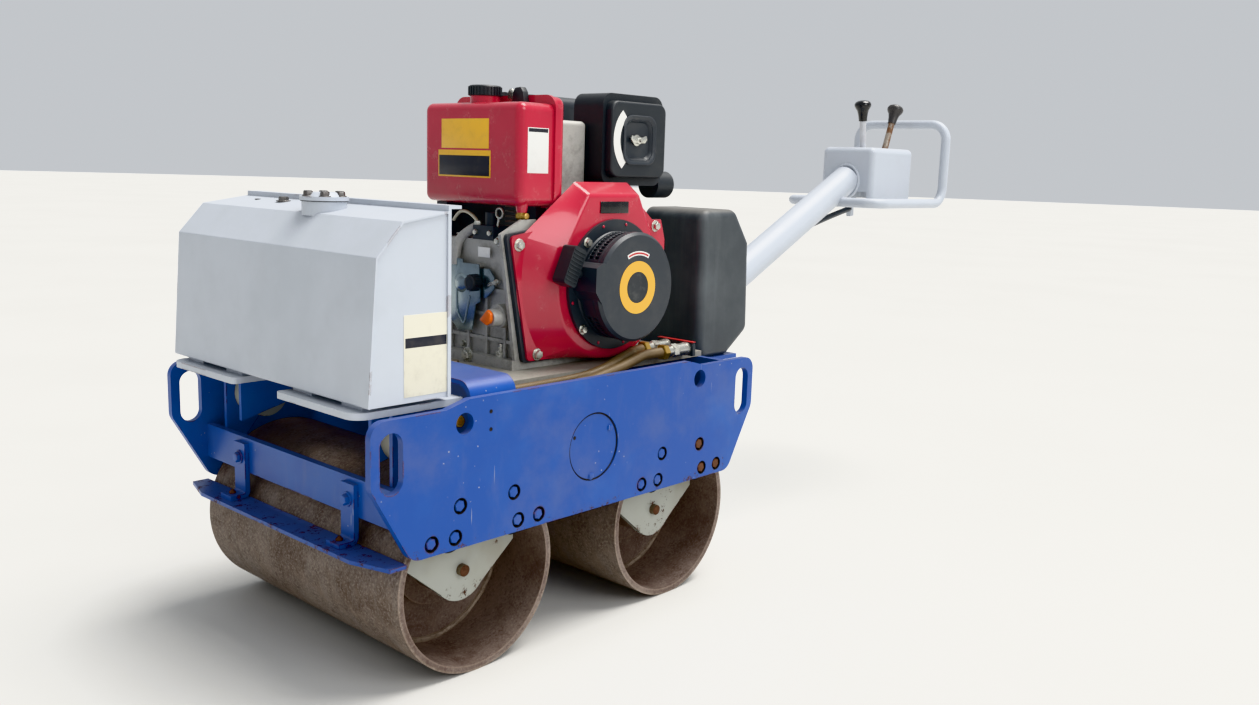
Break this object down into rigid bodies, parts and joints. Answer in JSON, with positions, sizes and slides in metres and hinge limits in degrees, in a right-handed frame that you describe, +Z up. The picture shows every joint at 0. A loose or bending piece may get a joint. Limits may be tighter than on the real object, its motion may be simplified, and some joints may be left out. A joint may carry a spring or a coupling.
{
  "type": "walk-behind road roller",
  "caption": "Walk-behind vibratory road roller with smooth drums in line, side-plate frame, open engine, water tank in front and a long folding steering handle.",
  "frame": {"origin": "on the ground under the middle of the whole machine, handle included", "axes": "+X forwards to the water tank, +Y to the left side with the recoil starter, +Z up"},
  "size_m": [1.926, 0.588, 0.9611],
  "materials": {
    "blue_paint": "semi-gloss blue paint, chipped and rusty at edges",
    "light_paint": "light grey paint, scuffed",
    "grey_paint": "dull grey paint with rust spots",
    "red_paint": "gloss red paint",
    "black_paint": "satin black",
    "drum_steel": "rolled steel with a brown rust skin",
    "worn_steel": "worn bare steel",
    "bright_metal": "zinc plated",
    "aluminium": "rough die-cast aluminium",
    "cast_iron": "painted casting",
    "rubber": "matt rubber",
    "hose_rubber": "bronze-brown ribbed hose",
    "black_plastic": "satin black plastic",
    "tank_plastic": "scuffed black moulded plastic",
    "orange_plastic": "orange plastic"
  },
  "bodies": {
    "frame": {"side_plate_left": "blue_paint", "side_plate_right": "blue_paint", "cross_bars": "blue_paint", "cross_plates": "blue_paint", "frame_saddle": "blue_paint", "rail_gussets": "blue_paint", "gusset_tubes": "grey_paint", "exciter_housing": "blue_paint", "engine_bed": "worn_steel", "oil_tank_shelf": "blue_paint", "handle_ears": "blue_paint", "handle_pin": "worn_steel", "hangers_front": "grey_paint", "hangers_rear": "grey_paint", "stub_axles": "worn_steel", "rubber_buffers": "rubber", "scraper_front": "blue_paint", "scraper_rear": "blue_paint", "scraper_brackets": "blue_paint", "tank_rails": "light_paint", "tank_spacers": "light_paint", "water_tank": "light_paint", "tank_back_plate": "light_paint", "filler_neck": "light_paint", "filler_lid": "light_paint", "crankcase": "aluminium", "cylinder": "aluminium", "cylinder_head": "aluminium", "shroud_back_plate": "black_paint", "fan_shroud": "red_paint", "recoil_starter": "black_paint", "recoil_grip": "black_plastic", "fuel_tank": "red_paint", "fuel_cap": "black_plastic", "fuel_tank_legs": "black_paint", "air_cleaner": "black_plastic", "air_inlet": "black_plastic", "head_ducts": "aluminium", "muffler": "black_paint", "control_plate": "bright_metal", "control_knob": "black_plastic", "oil_filler_plug": "orange_plastic", "injection_pump": "bright_metal", "pump_housing": "aluminium", "hydraulic_pump": "cast_iron", "oil_tank": "tank_plastic", "hose_couplers": "bright_metal", "coupler_bracket": "black_paint", "hydraulic_hoses": "hose_rubber"},
    "drum_front": {"drum_front_shell": "drum_steel", "drum_front_webs": "drum_steel"},
    "drum_rear": {"drum_rear_shell": "drum_steel", "drum_rear_webs": "drum_steel"},
    "handle": {"handle_tube": "light_paint", "control_box": "light_paint", "hand_bar": "light_paint", "lever_stems": "worn_steel", "lever_knobs": "black_plastic"}
  },
  "joints": [
    {"name": "drum_front_spin", "type": "hinge", "parent": "frame", "child": "drum_front", "pos_m": [0.752, 0, 0.149], "axis": [0, 1, 0], "continuous": true},
    {"name": "drum_rear_spin", "type": "hinge", "parent": "frame", "child": "drum_rear", "pos_m": [0.302, 0, 0.149], "axis": [0, 1, 0], "continuous": true},
    {"name": "handle_fold", "type": "hinge", "parent": "frame", "child": "handle", "pos_m": [0.087, 0, 0.375], "axis": [0, 1, 0], "range_deg": [0, 60]}
  ]
}
